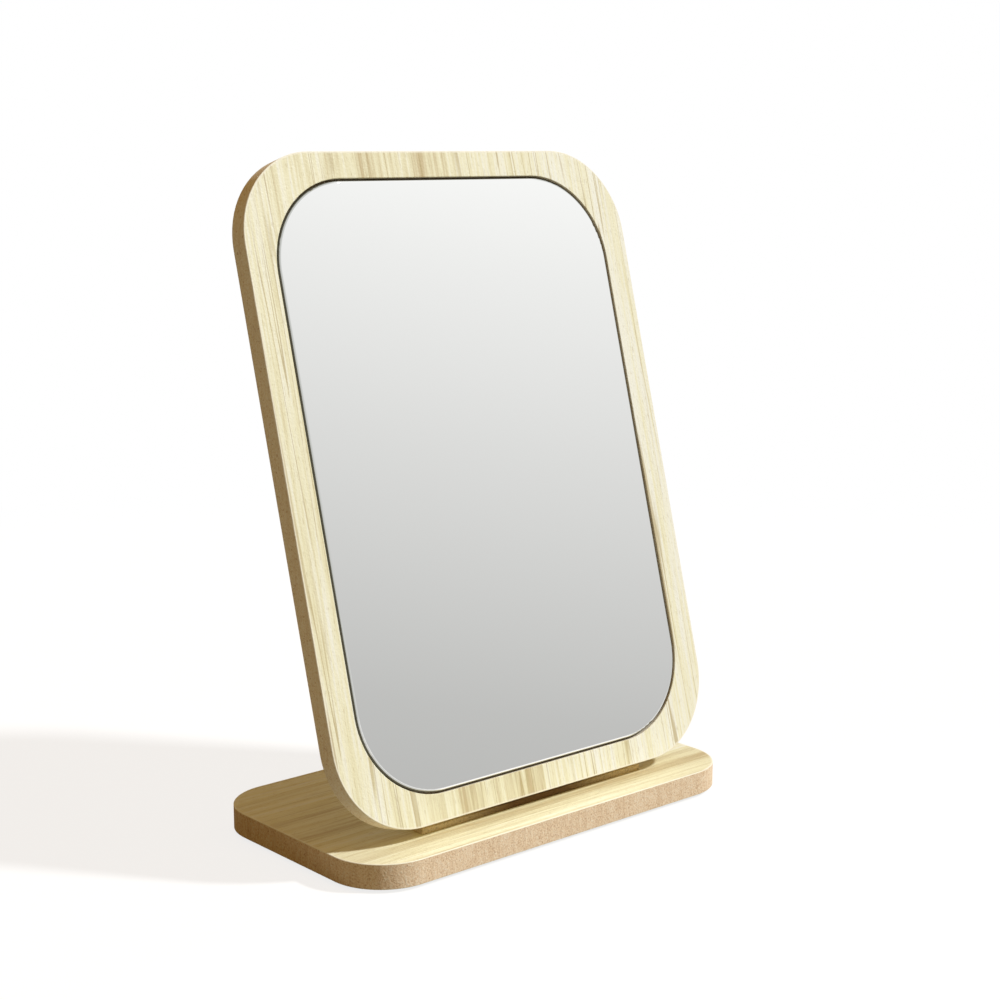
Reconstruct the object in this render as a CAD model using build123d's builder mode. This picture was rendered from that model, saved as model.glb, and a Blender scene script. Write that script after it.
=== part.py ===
from build123d import *
from math import cos, radians, sin, tan
import os

# Tabletop vanity mirror: a glass let into a wood-film faced board, which tilts on two friction hinges
# above a flat base. Millimetres, +X to the right, +Y to the back, +Z up.
# The origin is on the table, under the middle of the base.

# Sheet stock: fibreboard cores, with a printed wood-grain film on both faces
film = 0.3
film_ease = 0.2
base_core = 10.0
panel_core = 8.4

# Base
base_width = 210.0
base_depth = 115.0
base_corner = 25.0

# Foot pads under the base
foot_radius = 6.0
foot_height = 1.5
foot_ease = 0.4
foot_inset = 20.0

# Panel that holds the mirror, and how far it leans back at rest
panel_width = 210.0
panel_height = 280.0
panel_corner = 38.0
lean = 15.0

# Pocket for the mirror: its borders to the panel's edges, and its corners
border_side = 13.4
border_end = 11.4
pocket_corner = 38.6

# Mirror glass, and the strips of foam tape that hold it
glass_thickness = 3.0
glass_gap = 0.8
glass_round = 1.2
tape_thickness = 0.6
tape_width = 20.0
tape_side_margin = 18.0
tape_end_margin = 28.0
tape_strips = 3

# Hinges: leaves, knuckles, pins and friction discs
hinge_spacing = 80.0
hinge_setback = 26.7
leaf_width = 36.0
leaf_length = 22.0
leaf_thickness = 1.2
leaf_corner = 2.0
knuckle_radius = 2.25
knuckle_clearance = 0.3
end_knuckle = 9.0
disc_thickness = 0.6
disc_radius = 2.1
disc_clearance = 0.1
pin_radius = 1.1
pin_clearance = 0.05
pin_head_radius = 1.9
pin_head_length = 0.8
pin_head_ease = 0.25

# Hinge rail: the strip on the base that the hinges stand on
rail_thickness = 2.5
rail_nose = 6.0
rail_tail = 0.8
rail_end = 5.0
rail_ease = 0.3

# Countersunk screws
screw_radius = 1.25
screw_head_radius = 2.3
screw_head_angle = 90.0
screw_point = 1.5
screw_clearance = 0.05
screw_end_room = 0.3
base_screw_bite = 7.5
panel_screw_bite = 4.0
hole_margin = 6.5
recess_span = 2.4
recess_width = 0.6
recess_depth = 0.7

# Heights on the base, from the table up
base_core_z = foot_height + film
base_film_z = base_core_z + base_core
base_top_z = base_film_z + film
rail_top_z = base_top_z + rail_thickness

# Hinge axis: the knuckles run clear of the rail below them and of the panel in front
knuckle_room = knuckle_radius + knuckle_clearance
axis_y = hinge_setback - base_depth / 2
axis_z = rail_top_z + knuckle_room
leaf_face = knuckle_room - leaf_thickness
knuckle_gap = disc_thickness + 2 * disc_clearance
centre_knuckle = leaf_width - 2 * (end_knuckle + knuckle_gap)
bore_radius = pin_radius + pin_clearance
hinge_centres = [(-hinge_spacing / 2, 0), (hinge_spacing / 2, 0)]
hinge_sides = [("left", -hinge_spacing / 2), ("right", hinge_spacing / 2)]

# Panel's distances along its normal, out of the mirror's face, from the hinge axis
panel_back = knuckle_room
panel_core_back = panel_back + film
panel_core_front = panel_core_back + panel_core
panel_front = panel_core_front + film

# Panel's frame: local y runs up the panel, from the hinge axis or from the panel's middle
panel_normal = Vector(0, -cos(radians(lean)), sin(radians(lean)))
out_of_panel = Axis((0, axis_y, axis_z), panel_normal)
hinge_frame = Plane(origin=(0, axis_y, axis_z), x_dir=(1, 0, 0), z_dir=panel_normal)
panel_middle = hinge_frame.from_local_coords(Vector(0, panel_height / 2 - knuckle_radius, 0))
panel_frame = Plane(origin=panel_middle, x_dir=(1, 0, 0), z_dir=panel_normal)

# Pocket, glass and tape
pocket_width = panel_width - 2 * border_side
pocket_height = panel_height - 2 * border_end
pocket_depth = tape_thickness + glass_thickness
pocket_floor = panel_front - pocket_depth
glass_width = pocket_width - 2 * glass_gap
glass_height = pocket_height - 2 * glass_gap
glass_corner = pocket_corner - glass_gap
tape_length = glass_height - 2 * tape_end_margin
tape_pitch = (glass_width - 2 * tape_side_margin - tape_width) / (tape_strips - 1)

# Screw holes in a leaf, measured from the middle of its hinge axis
hole_spread = leaf_width / 2 - hole_margin
hole_near = knuckle_room + hole_margin
hole_far = leaf_length - hole_margin
leaf_holes = [(-hole_spread, hole_near), (hole_spread, hole_near), (0, hole_far)]
screw_hole_radius = screw_radius + screw_clearance
base_screw_length = leaf_thickness + rail_thickness + film + base_screw_bite
panel_screw_length = leaf_thickness + film + panel_screw_bite


def base_leaf_frame(x):
    """Frame of a leaf on the base: local y runs to the back, and the seat is below."""
    return Plane(origin=(x, axis_y, axis_z), x_dir=(1, 0, 0), z_dir=(0, 0, 1))


def panel_leaf_frame(x):
    """Frame of a leaf on the panel: local y runs up the panel, and the seat is the panel's back."""
    return Plane(origin=(x, axis_y, axis_z), x_dir=(-1, 0, 0), z_dir=-panel_normal)


# Faces of the leaves that the screw heads lie flush with
base_screw_face = base_leaf_frame(0).offset(-leaf_face)
panel_screw_face = panel_leaf_frame(0).offset(-leaf_face)


def write(part, name):
    """Label one finished piece and write it to its own file."""
    part.label = name
    export_step(part, f"parts/{name}.step")


def drill_screw_holes(screw_face, screw_length):
    """Drill the holes of all the screws on one side of the hinges, from the leaves' face."""
    with Locations(screw_face.location):
        with Locations(*hinge_centres):
            with Locations(*leaf_holes):
                Hole(screw_hole_radius, depth=screw_length + screw_end_room)


def hinge_leaf(frame, knuckles):
    """One hinge leaf: a plate that ends in knuckles, given as (middle, length) along the axis."""
    with BuildPart() as leaf:
        with BuildSketch(frame.offset(-knuckle_room)) as plate:
            with Locations((0, knuckle_room)):
                Rectangle(leaf_width, leaf_length - knuckle_room, align=(Align.CENTER, Align.MIN))
            for middle, length in knuckles:
                with Locations((middle, 0)):
                    Rectangle(length, knuckle_room, align=(Align.CENTER, Align.MIN))
            fillet(plate.vertices().group_by(Axis.Y)[-1], leaf_corner)
        extrude(amount=leaf_thickness)
        for middle, length in knuckles:
            start = frame.from_local_coords(Vector(middle - length / 2, 0, 0))
            knuckle_end = Plane(origin=start, x_dir=frame.y_dir, z_dir=frame.x_dir)
            with BuildSketch(knuckle_end):
                Circle(knuckle_radius)
            extrude(amount=length)
            with BuildSketch(knuckle_end):
                Circle(bore_radius)
            extrude(amount=length, mode=Mode.SUBTRACT)
        with Locations(frame.offset(-leaf_face).location):
            with Locations(*leaf_holes):
                CounterSinkHole(
                    screw_hole_radius,
                    screw_head_radius + screw_clearance,
                    depth=leaf_thickness,
                    counter_sink_angle=screw_head_angle,
                )
    return leaf.part


def countersunk_screw(length):
    """One wood screw along -Z, with the flat of its head at the origin and a cross recess."""
    cone = (screw_head_radius - screw_radius) / tan(radians(screw_head_angle / 2))
    with BuildPart() as screw:
        with BuildSketch(Plane.XZ):
            with BuildLine():
                Polyline(
                    (0, 0),
                    (screw_head_radius, 0),
                    (screw_radius, -cone),
                    (screw_radius, screw_point - length),
                    (0, -length),
                    close=True,
                )
            make_face()
        revolve(axis=Axis.Z)
        with BuildSketch(Plane.XY):
            Rectangle(recess_span, recess_width)
            Rectangle(recess_width, recess_span)
        extrude(amount=-recess_depth, mode=Mode.SUBTRACT)
    return screw.part


os.makedirs("parts", exist_ok=True)

# Base board, drilled for the hinge screws
with BuildPart() as base_board:
    with BuildSketch(Plane.XY.offset(base_core_z)):
        RectangleRounded(base_width, base_depth, base_corner)
    extrude(amount=base_core)
    drill_screw_holes(base_screw_face, base_screw_length)
write(base_board.part, "base_board")

# Film on the base's top, with its outer edge eased
with BuildPart() as base_top_film:
    with BuildSketch(Plane.XY.offset(base_film_z)):
        RectangleRounded(base_width, base_depth, base_corner)
    extrude(amount=film)
    chamfer(base_top_film.edges().group_by(Axis.Z)[-1], film_ease)
    drill_screw_holes(base_screw_face, base_screw_length)
write(base_top_film.part, "base_top_film")

# Film on the base's underside
with BuildPart() as base_bottom_film:
    with BuildSketch(Plane.XY.offset(foot_height)):
        RectangleRounded(base_width, base_depth, base_corner)
    extrude(amount=film)
    chamfer(base_bottom_film.edges().group_by(Axis.Z)[0], film_ease)
write(base_bottom_film.part, "base_bottom_film")

# Four foot pads
with BuildPart() as foot_pads:
    with BuildSketch(Plane.XY):
        with GridLocations(base_width - 2 * foot_inset, base_depth - 2 * foot_inset, 2, 2):
            Circle(foot_radius)
    extrude(amount=foot_height)
    chamfer(foot_pads.edges().group_by(Axis.Z)[0], foot_ease)
write(foot_pads.part, "foot_pads")

# Hinge rail, from ahead of the hinge axis to just behind the leaves
with BuildPart() as hinge_rail:
    with BuildSketch(Plane.XY.offset(base_top_z)):
        with Locations((0, axis_y - rail_nose)):
            Rectangle(
                hinge_spacing + leaf_width + 2 * rail_end,
                rail_nose + leaf_length + rail_tail,
                align=(Align.CENTER, Align.MIN),
            )
    extrude(amount=rail_thickness)
    chamfer(hinge_rail.edges().group_by(Axis.Z)[-1], rail_ease)
    drill_screw_holes(base_screw_face, base_screw_length)
write(hinge_rail.part, "hinge_rail")

# Panel board, with the mirror's pocket in front and screw holes at the back
with BuildPart() as panel_board:
    with BuildSketch(panel_frame.offset(panel_core_back)):
        RectangleRounded(panel_width, panel_height, panel_corner)
    extrude(amount=panel_core)
    with BuildSketch(panel_frame.offset(pocket_floor)):
        RectangleRounded(pocket_width, pocket_height, pocket_corner)
    extrude(amount=pocket_depth, mode=Mode.SUBTRACT)
    drill_screw_holes(panel_screw_face, panel_screw_length)
write(panel_board.part, "panel_board")

# Film round the mirror on the panel's front, eased at its outer edge and at the pocket
with BuildPart() as panel_front_film:
    with BuildSketch(panel_frame.offset(panel_core_front)):
        RectangleRounded(panel_width, panel_height, panel_corner)
    extrude(amount=film)
    with BuildSketch(panel_frame.offset(panel_core_front)):
        RectangleRounded(pocket_width, pocket_height, pocket_corner)
    extrude(amount=film, mode=Mode.SUBTRACT)
    chamfer(panel_front_film.edges().group_by(out_of_panel)[-1], film_ease)
write(panel_front_film.part, "panel_front_film")

# Film on the panel's back
with BuildPart() as panel_back_film:
    with BuildSketch(panel_frame.offset(panel_back)):
        RectangleRounded(panel_width, panel_height, panel_corner)
    extrude(amount=film)
    chamfer(panel_back_film.edges().group_by(out_of_panel)[0], film_ease)
    drill_screw_holes(panel_screw_face, panel_screw_length)
write(panel_back_film.part, "panel_back_film")

# Mirror glass, flush with the film, with a polished round edge at its front
with BuildPart() as mirror_glass:
    with BuildSketch(panel_frame.offset(panel_front - glass_thickness)):
        RectangleRounded(glass_width, glass_height, glass_corner)
    extrude(amount=glass_thickness)
    fillet(mirror_glass.edges().group_by(out_of_panel)[-1], glass_round)
write(mirror_glass.part, "mirror_glass")

# Strips of foam tape between the glass and the pocket's floor
with BuildPart() as mirror_tape:
    with BuildSketch(panel_frame.offset(pocket_floor)):
        with GridLocations(tape_pitch, tape_length, tape_strips, 1):
            Rectangle(tape_width, tape_length)
    extrude(amount=tape_thickness)
write(mirror_tape.part, "mirror_tape")

# Two hinges: leaves with end knuckles on the base, leaves with a centre knuckle on the panel
end_middle = (leaf_width - end_knuckle) / 2
for side, hinge_x in hinge_sides:
    base_leaf = hinge_leaf(base_leaf_frame(hinge_x), [(-end_middle, end_knuckle), (end_middle, end_knuckle)])
    write(base_leaf, f"base_leaf_{side}")
    panel_leaf = hinge_leaf(panel_leaf_frame(hinge_x), [(0, centre_knuckle)])
    write(panel_leaf, f"panel_leaf_{side}")

    # Pin through all three knuckles, headed at both ends
    pin_end = Plane(origin=(hinge_x - leaf_width / 2, axis_y, axis_z), x_dir=(0, 1, 0), z_dir=(1, 0, 0))
    with BuildPart() as hinge_pin:
        with BuildSketch(pin_end):
            Circle(pin_radius)
        extrude(amount=leaf_width)
        with BuildSketch(pin_end, pin_end.offset(leaf_width + pin_head_length)):
            Circle(pin_head_radius)
        extrude(amount=-pin_head_length)
        heads = hinge_pin.edges().filter_by(GeomType.CIRCLE).group_by(Axis.X)
        chamfer(heads[0] + heads[-1], pin_head_ease)
    write(hinge_pin.part, f"hinge_pin_{side}")

    # Friction discs in the two gaps between the knuckles
    disc_offset = (centre_knuckle + knuckle_gap) / 2
    disc_middle = Plane(origin=(hinge_x, axis_y, axis_z), x_dir=(0, 1, 0), z_dir=(1, 0, 0))
    with BuildPart() as friction_discs:
        with BuildSketch(disc_middle.offset(-disc_offset), disc_middle.offset(disc_offset)):
            Circle(disc_radius)
            Circle(bore_radius, mode=Mode.SUBTRACT)
        extrude(amount=disc_thickness / 2, both=True)
    write(friction_discs.part, f"friction_discs_{side}")

# Screws through the base leaves and the rail into the base
base_screw = countersunk_screw(base_screw_length)
with BuildPart() as base_leaf_screws:
    with Locations(base_screw_face.location):
        with Locations(*hinge_centres):
            with Locations(*leaf_holes):
                add(base_screw)
write(base_leaf_screws.part, "base_leaf_screws")

# Screws through the panel leaves into the panel's back
panel_screw = countersunk_screw(panel_screw_length)
with BuildPart() as panel_leaf_screws:
    with Locations(panel_screw_face.location):
        with Locations(*hinge_centres):
            with Locations(*leaf_holes):
                add(panel_screw)
write(panel_leaf_screws.part, "panel_leaf_screws")
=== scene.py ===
import math

import bpy
from mathutils import Matrix, Vector

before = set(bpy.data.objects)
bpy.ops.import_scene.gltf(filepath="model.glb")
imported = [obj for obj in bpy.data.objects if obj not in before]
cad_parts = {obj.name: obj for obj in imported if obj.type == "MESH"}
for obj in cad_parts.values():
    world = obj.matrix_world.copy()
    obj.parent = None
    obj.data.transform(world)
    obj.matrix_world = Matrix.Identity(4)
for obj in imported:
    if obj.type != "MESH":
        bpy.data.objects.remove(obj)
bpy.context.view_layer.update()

# Camera of the photograph, aimed from the middle of the base's top
CAMERA_AZIMUTH = math.radians(-41.126)
CAMERA_ELEVATION = math.radians(10.631)
CAMERA_RIGHT = 0.008459
CAMERA_UP = 0.124943
CAMERA_DISTANCE = 0.842031
CAMERA_LENS = 67.756
SENSOR_WIDTH = 36.0
BASE_TOP = 0.0121

# Light: where the key comes from, its strength and colour, and the warm fill in the shade
KEY_FROM = Vector((0.526, -0.517, 0.676))
KEY_STRENGTH = 3.06
KEY_COLOUR = (0.985, 1.02, 1.05)
KEY_ANGLE = math.radians(5)
FILL_COLOUR = (1.0, 0.59, 0.17)
FILL_STRENGTH = 0.46
FLOOR_BOUNCE = (0.36, 0.34, 0.26)
FLOOR_SHADOW = 0.25
FLOOR_LIT = 0.75
FLOOR_SIZE = 8.0
SHADOW_NEAR = 0.25
SHADOW_FAR = 0.8

# Grey sweep that the mirror shows: the way it runs, its greys along it, and the X from which it shows
SWEEP_ALONG = (0.529, 0.0, 0.849)
SWEEP_GREYS = (
    (0.50, (0.97, 0.97, 0.96)),
    (0.65, (0.95, 0.95, 0.94)),
    (0.69, (0.53, 0.53, 0.52)),
    (0.71, (0.56, 0.56, 0.55)),
    (0.77, (0.76, 0.76, 0.75)),
    (0.81, (0.91, 0.91, 0.90)),
    (0.83, (1.00, 1.00, 0.99)),
)
SWEEP_BESIDE = (0.97, 0.97, 0.96)
SWEEP_LOW_X = 0.28
SWEEP_HIGH_X = 0.46

# Panel and base, in metres, as the CAD has them
LEAN = math.radians(15)
PANEL_HALF = (0.105, 0.140)
PANEL_CORNER = 0.038
PANEL_MIDDLE = (0.0, 0.00485, 0.15021)
BASE_HALF = (0.0575, 0.105)
BASE_CORNER = 0.025
GLASS_HALF = (0.0908, 0.1278)
GLASS_CORNER = 0.0378
GLASS_STRAIGHT = GLASS_HALF[0] - GLASS_CORNER

# Glass, linear: its silvered face, a painted grey reflection on its round sides, and its dark cut side
SILVER = (0.93, 0.935, 0.93)
ROUND_PAINTED_REFLECTION = (0.55, 0.56, 0.54)
CUT_GREEN = (0.11, 0.115, 0.09)

# Frames of the wood print: x runs across the grain, y out of the board and z along the grain
PANEL_TURN = (-LEAN, 0.0, 0.0)
BASE_TURN = (math.radians(90), 0.0, math.radians(90))

# Colours of the print in sRGB: its tones from palest to darkest, its lines and pores, and a painted
# highlight along its edge
FILM_TONES = (
    (0.00, (251, 252, 240)),
    (0.30, (248, 246, 218)),
    (0.50, (241, 237, 202)),
    (0.70, (231, 224, 187)),
    (1.00, (208, 192, 150)),
)
FILM_LINE = (190, 173, 124)
FILM_PORE = (194, 178, 132)
FILM_EDGE_HIGHLIGHT = (255, 252, 236)

# Sizes of the print's noises across and along the grain, in metres
BROAD = (0.030, 0.5)
BANDS = (0.005, 0.22)
STREAKS = (0.0014, 0.06)
FIBRES = (0.0005, 0.012)
WANDER = (0.02, 0.12)
LINES = (0.004, 0.20)
LINE_PATCHES = (0.010, 0.09)
PORES = (0.0004, 0.004)
PEBBLES = 0.0009

# Weights in the print's tone, how far its figure wanders and how deep it is embossed, in metres
BROAD_WEIGHT = 0.4
FIBRE_WEIGHT = 0.5
FIGURE_WEIGHT = 0.75
PALEST_TONE = 0.15
LINE_WEIGHT = 0.6
WANDER_REACH = 0.003
EMBOSS_DEPTH = 0.00011

# Tan figure of the print: place across the grain from edge to edge, and how dark it is there
PANEL_FIGURE = (
    (0.00, 0.17),
    (0.06, 0.17),
    (0.14, 0.34),
    (0.22, 0.50),
    (0.27, 0.30),
    (0.30, 0.72),
    (0.33, 0.87),
    (0.36, 0.40),
    (0.42, 0.58),
    (0.46, 0.92),
    (0.50, 0.77),
    (0.53, 0.22),
    (0.62, 0.32),
    (0.70, 0.14),
    (0.84, 0.02),
    (0.95, 0.00),
    (0.975, 0.14),
    (1.00, 0.00),
)
BASE_FIGURE = (
    (0.00, 0.52),
    (0.075, 0.46),
    (0.11, 0.80),
    (0.14, 1.00),
    (0.165, 0.72),
    (0.22, 0.58),
    (0.30, 0.25),
    (0.44, 0.60),
    (0.52, 0.30),
    (0.66, 0.65),
    (0.76, 0.30),
    (0.90, 0.60),
    (1.00, 0.30),
)


def srgb(red, green, blue):
    """Linear colour of an sRGB colour given in 0 to 255."""
    shares = [value / 255 for value in (red, green, blue)]
    return tuple(s / 12.92 if s <= 0.04045 else ((s + 0.055) / 1.055) ** 2.4 for s in shares)


class Graph:
    """A node tree, with short calls for the nodes that the finishes are made of."""

    def __init__(self, tree):
        self.tree = tree

    def feed(self, socket, value):
        """Sets a socket to a value, or links another node's output to it."""
        if isinstance(value, bpy.types.NodeSocket):
            self.tree.links.new(value, socket)
        else:
            socket.default_value = value

    def node(self, kind, inputs=None, **settings):
        made = self.tree.nodes.new(kind)
        for name, value in settings.items():
            setattr(made, name, value)
        for name, value in (inputs or {}).items():
            self.feed(made.inputs[name], value)
        return made

    def math(self, operation, *values, clamp=False):
        made = self.node("ShaderNodeMath", operation=operation, use_clamp=clamp)
        for socket, value in zip(made.inputs, values):
            self.feed(socket, value)
        return made.outputs[0]

    def mix(self, share, first, second):
        """Colour between the first, at share 0, and the second, at share 1."""
        made = self.node("ShaderNodeMix", data_type="RGBA")
        for socket, value in zip((made.inputs[0], made.inputs[6], made.inputs[7]), (share, first, second)):
            self.feed(socket, (*value, 1.0) if isinstance(value, tuple) else value)
        return made.outputs[2]

    def ramp(self, share, stops):
        """Colour ramp through (position, colour) stops."""
        made = self.node("ShaderNodeValToRGB", {"Fac": share})
        elements = made.color_ramp.elements
        while len(elements) < len(stops):
            elements.new(1.0)
        for element, (position, colour) in zip(elements, stops):
            element.position = position
            element.color = (*colour, 1.0)
        return made.outputs["Color"]

    def rise(self, value, low, high, start=0.0, end=1.0):
        """Start below low, end above high, and a smooth rise between them."""
        inputs = {"Value": value, "From Min": low, "From Max": high, "To Min": start, "To Max": end}
        return self.node("ShaderNodeMapRange", inputs, interpolation_type="SMOOTHSTEP").outputs[0]

    def noise(self, place, across, along=None, detail=2.0, seed=0.0):
        """Noise whose blobs measure across by along, in metres, the long way on z."""
        scale = (1 / across, 1 / across, 1 / (along or across))
        inputs = {"Vector": place, "Location": (seed, seed, seed), "Scale": scale}
        sized = self.node("ShaderNodeMapping", inputs).outputs[0]
        inputs = {"Vector": sized, "Scale": 1.0, "Detail": detail, "Roughness": 0.55}
        return self.node("ShaderNodeTexNoise", inputs).outputs[0]

    def edge_distance(self, place, half, corner):
        """Depth inside a rounded rectangle on x and z, in metres: 0 on its outline."""
        axes = self.node("ShaderNodeSeparateXYZ", {"Vector": place}).outputs
        over = []
        for axis, size in zip((axes["X"], axes["Z"]), half):
            past_corner = self.math("SUBTRACT", self.math("ABSOLUTE", axis), size - corner)
            over.append(self.math("MAXIMUM", past_corner, 0.0))
        squares = [self.math("MULTIPLY", value, value) for value in over]
        reach = self.math("SQRT", self.math("ADD", *squares))
        return self.math("SUBTRACT", corner, reach)


class Finish(Graph):
    """A material under construction, with its shader and its place in the frame, in metres."""

    def __init__(self, name):
        self.material = bpy.data.materials.new(name)
        self.material.use_nodes = True
        super().__init__(self.material.node_tree)
        self.shader = self.tree.nodes["Principled BSDF"]
        self.place = self.node("ShaderNodeTexCoord").outputs["Object"]

    def turned(self, middle, turn):
        """Place in the frame of a board that has this middle and turn."""
        inputs = {"Vector": self.place, "Location": middle, "Rotation": turn}
        return self.node("ShaderNodeMapping", inputs, vector_type="TEXTURE").outputs[0]

    def bump(self, height, depth, strength=1.0):
        """Relief of that depth in metres, on the shader's normal."""
        inputs = {"Height": height, "Distance": depth, "Strength": strength}
        self.feed(self.shader.inputs["Normal"], self.node("ShaderNodeBump", inputs).outputs[0])

    def surface(self, **inputs):
        for name, value in inputs.items():
            socket = self.shader.inputs[name.replace("_", " ")]
            self.feed(socket, (*value, 1.0) if isinstance(value, tuple) else value)
        return self.material


def wood_film(name, middle, turn, half, corner, figure, seed, soft, fine, gloss):
    """Printed wood film: tan figure, streaks, lines and pores along the grain, with a painted highlight
    along its edge.

    Soft and fine weigh its bands and its streaks, and gloss is its specular level.
    """
    film = Finish(name)
    place = film.turned(middle, turn)
    broad = film.noise(place, *BROAD, seed=seed)
    bands = film.noise(place, *BANDS, seed=seed + 3)
    streaks = film.noise(place, *STREAKS, seed=seed + 5)
    fibres = film.noise(place, *FIBRES, detail=3.0, seed=seed + 7)

    across = film.node("ShaderNodeSeparateXYZ", {"Vector": place}).outputs["X"]
    sway = film.noise(place, *WANDER, seed=seed + 9)
    wander = film.math("MULTIPLY_ADD", sway, 2 * WANDER_REACH, -WANDER_REACH)
    share = film.math("DIVIDE", film.math("ADD", across, wander), 2 * half[0])
    share = film.math("ADD", share, 0.5)
    figured = film.ramp(share, [(position, (dark, dark, dark)) for position, dark in figure])

    layers = ((broad, BROAD_WEIGHT), (bands, soft), (streaks, fine), (fibres, FIBRE_WEIGHT))
    plain = PALEST_TONE - sum(weight for layer, weight in layers) / 2
    tone = film.math("MULTIPLY_ADD", figured, FIGURE_WEIGHT, plain)
    for layer, weight in layers:
        tone = film.math("MULTIPLY_ADD", layer, weight, tone)
    colour = film.ramp(tone, [(position, srgb(*shade)) for position, shade in FILM_TONES])

    swell = film.noise(place, *LINES, detail=1.0, seed=seed + 15)
    crossing = film.math("ABSOLUTE", film.math("SUBTRACT", swell, 0.5))
    patches = film.noise(place, *LINE_PATCHES, seed=seed + 17)
    patches = film.rise(patches, 0.36, 0.58, 0.0, LINE_WEIGHT * fine)
    lines = film.math("MULTIPLY", film.rise(crossing, 0.008, 0.03, 1.0, 0.0), patches)
    colour = film.mix(lines, colour, srgb(*FILM_LINE))
    pores = film.noise(place, *PORES, detail=1.0, seed=seed + 11)
    pores = film.rise(pores, 0.62, 0.72, 0.0, 0.45)
    colour = film.mix(pores, colour, srgb(*FILM_PORE))
    # Painted highlight: a pale line along the outline, where the film's edge would catch the light
    edge = film.rise(film.edge_distance(place, half, corner), 0.0003, 0.0011, 0.75, 0.0)
    colour = film.mix(edge, colour, srgb(*FILM_EDGE_HIGHLIGHT))

    pebble = film.noise(film.place, PEBBLES, detail=2.0, seed=seed + 13)
    relief = film.math("MULTIPLY_ADD", pores, -0.5, film.math("MULTIPLY_ADD", fibres, 0.4, pebble))
    film.bump(relief, EMBOSS_DEPTH)
    roughness = film.rise(streaks, 0.3, 0.7, 0.43, 0.52)
    return film.surface(Base_Color=colour, Roughness=roughness, Specular_IOR_Level=gloss)


def fibreboard(name, dark, middle, light):
    """Cut edge of medium-density fibreboard: fine fibres, darker flecks and upright cutter marks."""
    board = Finish(name)
    fuzz = board.noise(board.place, 0.0008, detail=3.0, seed=2)
    clumps = board.noise(board.place, 0.004, detail=3.0, seed=4)
    tone = board.math("MULTIPLY_ADD", clumps, 0.6, board.math("MULTIPLY_ADD", fuzz, 2.0, -0.8))
    colour = board.ramp(tone, ((0.0, dark), (0.5, middle), (1.0, light)))
    flecks = board.rise(board.noise(board.place, 0.0011, detail=1.0, seed=6), 0.62, 0.72, 0.0, 0.45)
    colour = board.mix(flecks, colour, srgb(186, 140, 98))
    cutter = board.noise(board.place, 0.0018, 0.020, detail=1.0, seed=8)
    colour = board.mix(board.rise(cutter, 0.45, 0.7, 0.0, 0.35), colour, dark)
    board.bump(board.math("ADD", fuzz, board.math("MULTIPLY", cutter, 0.4)), 0.0002)
    return board.surface(Base_Color=colour, Roughness=0.9, Specular_IOR_Level=0.1)


def mirror():
    """Silvered glass with a little haze: a painted grey reflection on its round sides and corners, and
    dark and green at its cut side.
    """
    glass = Finish("mirror")
    place = glass.turned(PANEL_MIDDLE, PANEL_TURN)
    depth = glass.edge_distance(place, GLASS_HALF, GLASS_CORNER)
    side = glass.rise(depth, 0.0003, 0.0006, 1.0, 0.0)
    rounded = glass.rise(depth, 0.0008, 0.0013, 1.0, 0.0)
    across = glass.node("ShaderNodeSeparateXYZ", {"Vector": place}).outputs["X"]
    # Painted reflection: the polished round is greyed along its sides and corners, not along its top and
    # bottom
    beside = glass.rise(glass.math("ABSOLUTE", across), GLASS_STRAIGHT, GLASS_STRAIGHT + 0.007)
    painted_reflection_share = glass.math("MULTIPLY", rounded, beside)
    colour = glass.mix(painted_reflection_share, SILVER, ROUND_PAINTED_REFLECTION)
    colour = glass.mix(side, colour, CUT_GREEN)
    haze = glass.rise(glass.noise(place, 0.03, detail=3.0), 0.4, 0.7, 0.0, 0.02)
    roughness = glass.math("MULTIPLY_ADD", side, 0.3, haze)
    silver = glass.math("SUBTRACT", 1.0, side)
    return glass.surface(Base_Color=colour, Metallic=silver, Roughness=roughness)


def hardboard():
    """Pressed brown board: fine grains, with painted shade that darkens it toward its middle."""
    board = Finish("hardboard")
    grains = board.noise(board.place, 0.0007, detail=3.0, seed=5)
    across = board.node("ShaderNodeSeparateXYZ", {"Vector": board.place}).outputs["X"]
    # Painted shade: darker toward the middle, where little light gets in under the panel, and lighter
    # toward both ends
    painted_shade_ends = board.rise(board.math("ABSOLUTE", across), 0.010, 0.058)
    brown = board.mix(painted_shade_ends, srgb(120, 92, 58), srgb(236, 216, 174))
    colour = board.mix(board.rise(grains, 0.45, 0.75, 0.0, 0.4), brown, srgb(96, 66, 38))
    board.bump(grains, 0.0001)
    return board.surface(Base_Color=colour, Roughness=0.75, Specular_IOR_Level=0.2)


def steel(name, colour, worn, roughness, brush):
    """Rolled steel brushed along x, with darker worn clouds."""
    metal = Finish(name)
    turned = metal.turned((0.0, 0.0, 0.0), (0.0, math.radians(90), 0.0))
    lines = metal.noise(turned, brush, 0.02, detail=2.0, seed=1)
    clouds = metal.noise(metal.place, 0.006, detail=3.0, seed=3)
    tone = metal.mix(metal.rise(clouds, 0.4, 0.7, 0.0, 0.5), colour, worn)
    tone = metal.mix(metal.rise(lines, 0.4, 0.7, 0.0, 0.25), tone, worn)
    metal.bump(lines, 0.000008)
    shine = metal.rise(lines, 0.3, 0.7, roughness - 0.06, roughness + 0.08)
    return metal.surface(Base_Color=tone, Metallic=1.0, Roughness=shine)


def speckled(name, dark, light, grain, roughness, relief):
    """Plain moulded or pressed stuff: two tones in fine grains, with a matching relief."""
    stuff = Finish(name)
    grains = stuff.noise(stuff.place, grain, detail=3.0, seed=5)
    clouds = stuff.noise(stuff.place, grain * 9, detail=2.0, seed=7)
    tone = stuff.math("MULTIPLY_ADD", clouds, 0.5, stuff.math("MULTIPLY", grains, 0.6))
    colour = stuff.ramp(tone, ((0.35, dark), (0.75, light)))
    stuff.bump(grains, relief)
    return stuff.surface(Base_Color=colour, Roughness=roughness)


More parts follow.
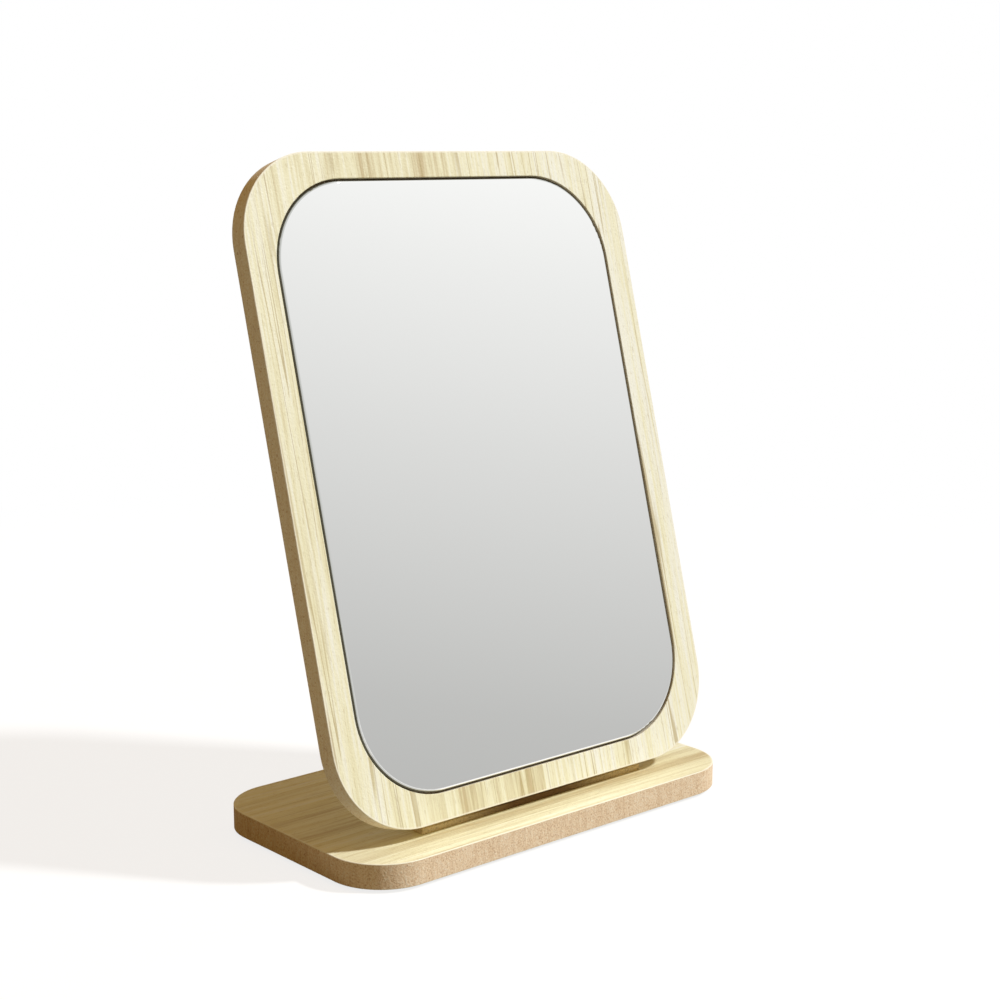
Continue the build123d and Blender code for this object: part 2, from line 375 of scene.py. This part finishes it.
def finish_nodes():
    """Gives every CAD node its finish."""
    panel = (PANEL_MIDDLE, PANEL_TURN, PANEL_HALF, PANEL_CORNER, PANEL_FIGURE)
    base = ((0.0, 0.0, 0.0), BASE_TURN, BASE_HALF, BASE_CORNER, BASE_FIGURE)
    panel_film = wood_film("panel_film", *panel, seed=20.0, soft=1.2, fine=1.25, gloss=0.38)
    base_film = wood_film("base_film", *base, seed=50.0, soft=1.6, fine=0.7, gloss=0.08)
    base_tones = (srgb(220, 190, 156), srgb(248, 225, 194), srgb(254, 243, 224))
    base_edge = fibreboard("base_fibreboard", *base_tones)
    # Painted light in part: the panel's fibreboard is paler than the base's, standing in partly for the
    # brighter light on the panel's edges
    panel_tones = (srgb(238, 221, 193), srgb(254, 244, 222), srgb(255, 250, 236))
    panel_edge = fibreboard("panel_fibreboard", *panel_tones)
    hinge = steel("hinge_steel", srgb(196, 193, 186), srgb(172, 168, 160), 0.36, 0.0003)
    pin = steel("pin_steel", srgb(214, 212, 206), srgb(172, 168, 160), 0.28, 0.0002)
    screw = steel("screw_zinc", srgb(208, 203, 186), srgb(168, 158, 132), 0.32, 0.0003)
    nylon = speckled("disc_nylon", srgb(206, 201, 188), srgb(228, 224, 213), 0.0004, 0.45, 0.00003)
    glass = mirror()
    tape = speckled("foam_tape", srgb(196, 196, 192), srgb(232, 232, 228), 0.0006, 0.85, 0.0002)
    rail = hardboard()
    rubber = speckled("pad_rubber", srgb(22, 22, 23), srgb(44, 44, 45), 0.0005, 0.7, 0.0001)
    finishes = {
        "base_board": base_edge,
        "panel_board": panel_edge,
        "base_top_film": base_film,
        "base_bottom_film": base_film,
        "panel_front_film": panel_film,
        "panel_back_film": panel_film,
        "mirror_glass": glass,
        "mirror_tape": tape,
        "hinge_rail": rail,
        "foot_pads": rubber,
        "base_leaf_left": hinge,
        "base_leaf_right": hinge,
        "panel_leaf_left": hinge,
        "panel_leaf_right": hinge,
        "hinge_pin_left": pin,
        "hinge_pin_right": pin,
        "friction_discs_left": nylon,
        "friction_discs_right": nylon,
        "base_leaf_screws": screw,
        "panel_leaf_screws": screw,
    }
    for name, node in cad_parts.items():
        for slot in node.material_slots:
            slot.material = finishes[name]


def seen_share(graph):
    """1 for rays that look, straight, in a mirror or through glass, and 0 for rays that light."""
    path = graph.node("ShaderNodeLightPath").outputs
    mirrored = graph.math("ADD", path["Is Glossy Ray"], path["Is Transmission Ray"])
    return graph.math("ADD", path["Is Camera Ray"], mirrored, clamp=True)


def build_world():
    """White to the camera, a grey sweep in the mirror, and a warm fill from above as light."""
    world = bpy.data.worlds.new("studio")
    bpy.context.scene.world = world
    world.use_nodes = True
    world.cycles.sampling_method = "NONE"
    studio = Graph(world.node_tree)
    studio.tree.nodes.clear()
    path = studio.node("ShaderNodeLightPath").outputs
    direction = studio.node("ShaderNodeTexCoord").outputs["Generated"]
    dot = studio.node("ShaderNodeVectorMath", operation="DOT_PRODUCT")
    studio.feed(dot.inputs[0], direction)
    studio.feed(dot.inputs[1], SWEEP_ALONG)
    height = studio.math("MULTIPLY_ADD", dot.outputs["Value"], 0.5, 0.5)
    sweep = studio.ramp(height, SWEEP_GREYS)
    axes = studio.node("ShaderNodeSeparateXYZ", {"Vector": direction}).outputs
    beside = studio.rise(axes["X"], SWEEP_LOW_X, SWEEP_HIGH_X, 1.0, 0.0)
    sweep = studio.mix(beside, sweep, SWEEP_BESIDE)
    strength = studio.math("MULTIPLY", studio.math("MAXIMUM", axes["Z"], 0.0), FILL_STRENGTH)
    fill = studio.node("ShaderNodeBackground", {"Color": (*FILL_COLOUR, 1.0), "Strength": strength})
    mirrored = studio.node("ShaderNodeBackground", {"Color": sweep})
    white = studio.node("ShaderNodeBackground", {"Color": (1.0, 1.0, 1.0, 1.0)})
    lit = studio.node("ShaderNodeMixShader", {"Fac": seen_share(studio)})
    studio.feed(lit.inputs[1], fill.outputs[0])
    studio.feed(lit.inputs[2], mirrored.outputs[0])
    shown = studio.node("ShaderNodeMixShader", {"Fac": path["Is Camera Ray"]})
    studio.feed(shown.inputs[1], lit.outputs[0])
    studio.feed(shown.inputs[2], white.outputs[0])
    studio.node("ShaderNodeOutputWorld", {"Surface": shown.outputs[0]})


def build_floor():
    """Pale floor: white where it is looked at, apart from a soft shadow near the object."""
    bpy.ops.mesh.primitive_plane_add(size=FLOOR_SIZE)
    floor = bpy.context.object
    floor.name = "floor"
    material = bpy.data.materials.new("floor")
    floor.data.materials.append(material)
    material.use_nodes = True
    material.cycles.emission_sampling = "NONE"
    paint = Graph(material.node_tree)
    paint.tree.nodes.clear()
    place = paint.node("ShaderNodeTexCoord").outputs["Object"]
    reach = paint.node("ShaderNodeVectorMath", {0: place}, operation="LENGTH").outputs["Value"]
    shadow = paint.rise(reach, SHADOW_NEAR, SHADOW_FAR, FLOOR_SHADOW, 0.0)
    glow = paint.math("MULTIPLY_ADD", shadow, -FLOOR_LIT, 1.0)
    white = paint.node("ShaderNodeEmission", {"Strength": glow})
    shaded = paint.node("ShaderNodeBsdfDiffuse", {"Color": shadow})
    looked_at = paint.node("ShaderNodeAddShader")
    paint.feed(looked_at.inputs[0], white.outputs[0])
    paint.feed(looked_at.inputs[1], shaded.outputs[0])
    bounce = paint.node("ShaderNodeBsdfDiffuse", {"Color": (*FLOOR_BOUNCE, 1.0)})
    shown = paint.node("ShaderNodeMixShader", {"Fac": seen_share(paint)})
    paint.feed(shown.inputs[1], bounce.outputs[0])
    paint.feed(shown.inputs[2], looked_at.outputs[0])
    paint.node("ShaderNodeOutputMaterial", {"Surface": shown.outputs[0]})


def build_key_light():
    lamp = bpy.data.lights.new("key", "SUN")
    lamp.energy = KEY_STRENGTH
    lamp.color = KEY_COLOUR
    lamp.angle = KEY_ANGLE
    key = bpy.data.objects.new("key", lamp)
    key.rotation_euler = KEY_FROM.to_track_quat("Z", "Y").to_euler()
    bpy.context.scene.collection.objects.link(key)


def build_camera():
    cos_azimuth, sin_azimuth = math.cos(CAMERA_AZIMUTH), math.sin(CAMERA_AZIMUTH)
    level = math.cos(CAMERA_ELEVATION)
    right = Vector((cos_azimuth, sin_azimuth, 0.0))
    back = Vector((sin_azimuth * level, -cos_azimuth * level, math.sin(CAMERA_ELEVATION)))
    up = back.cross(right)
    lens = bpy.data.cameras.new("camera")
    lens.lens = CAMERA_LENS
    lens.sensor_width = SENSOR_WIDTH
    camera = bpy.data.objects.new("camera", lens)
    turn = Matrix((right, up, back)).transposed()
    spot = Vector((0.0, 0.0, BASE_TOP)) + CAMERA_RIGHT * right + CAMERA_UP * up + CAMERA_DISTANCE * back
    camera.matrix_world = Matrix.Translation(spot) @ turn.to_4x4()
    bpy.context.scene.collection.objects.link(camera)
    bpy.context.scene.camera = camera


finish_nodes()
build_world()
build_floor()
build_key_light()
build_camera()
bpy.context.scene.view_settings.view_transform = "Standard"
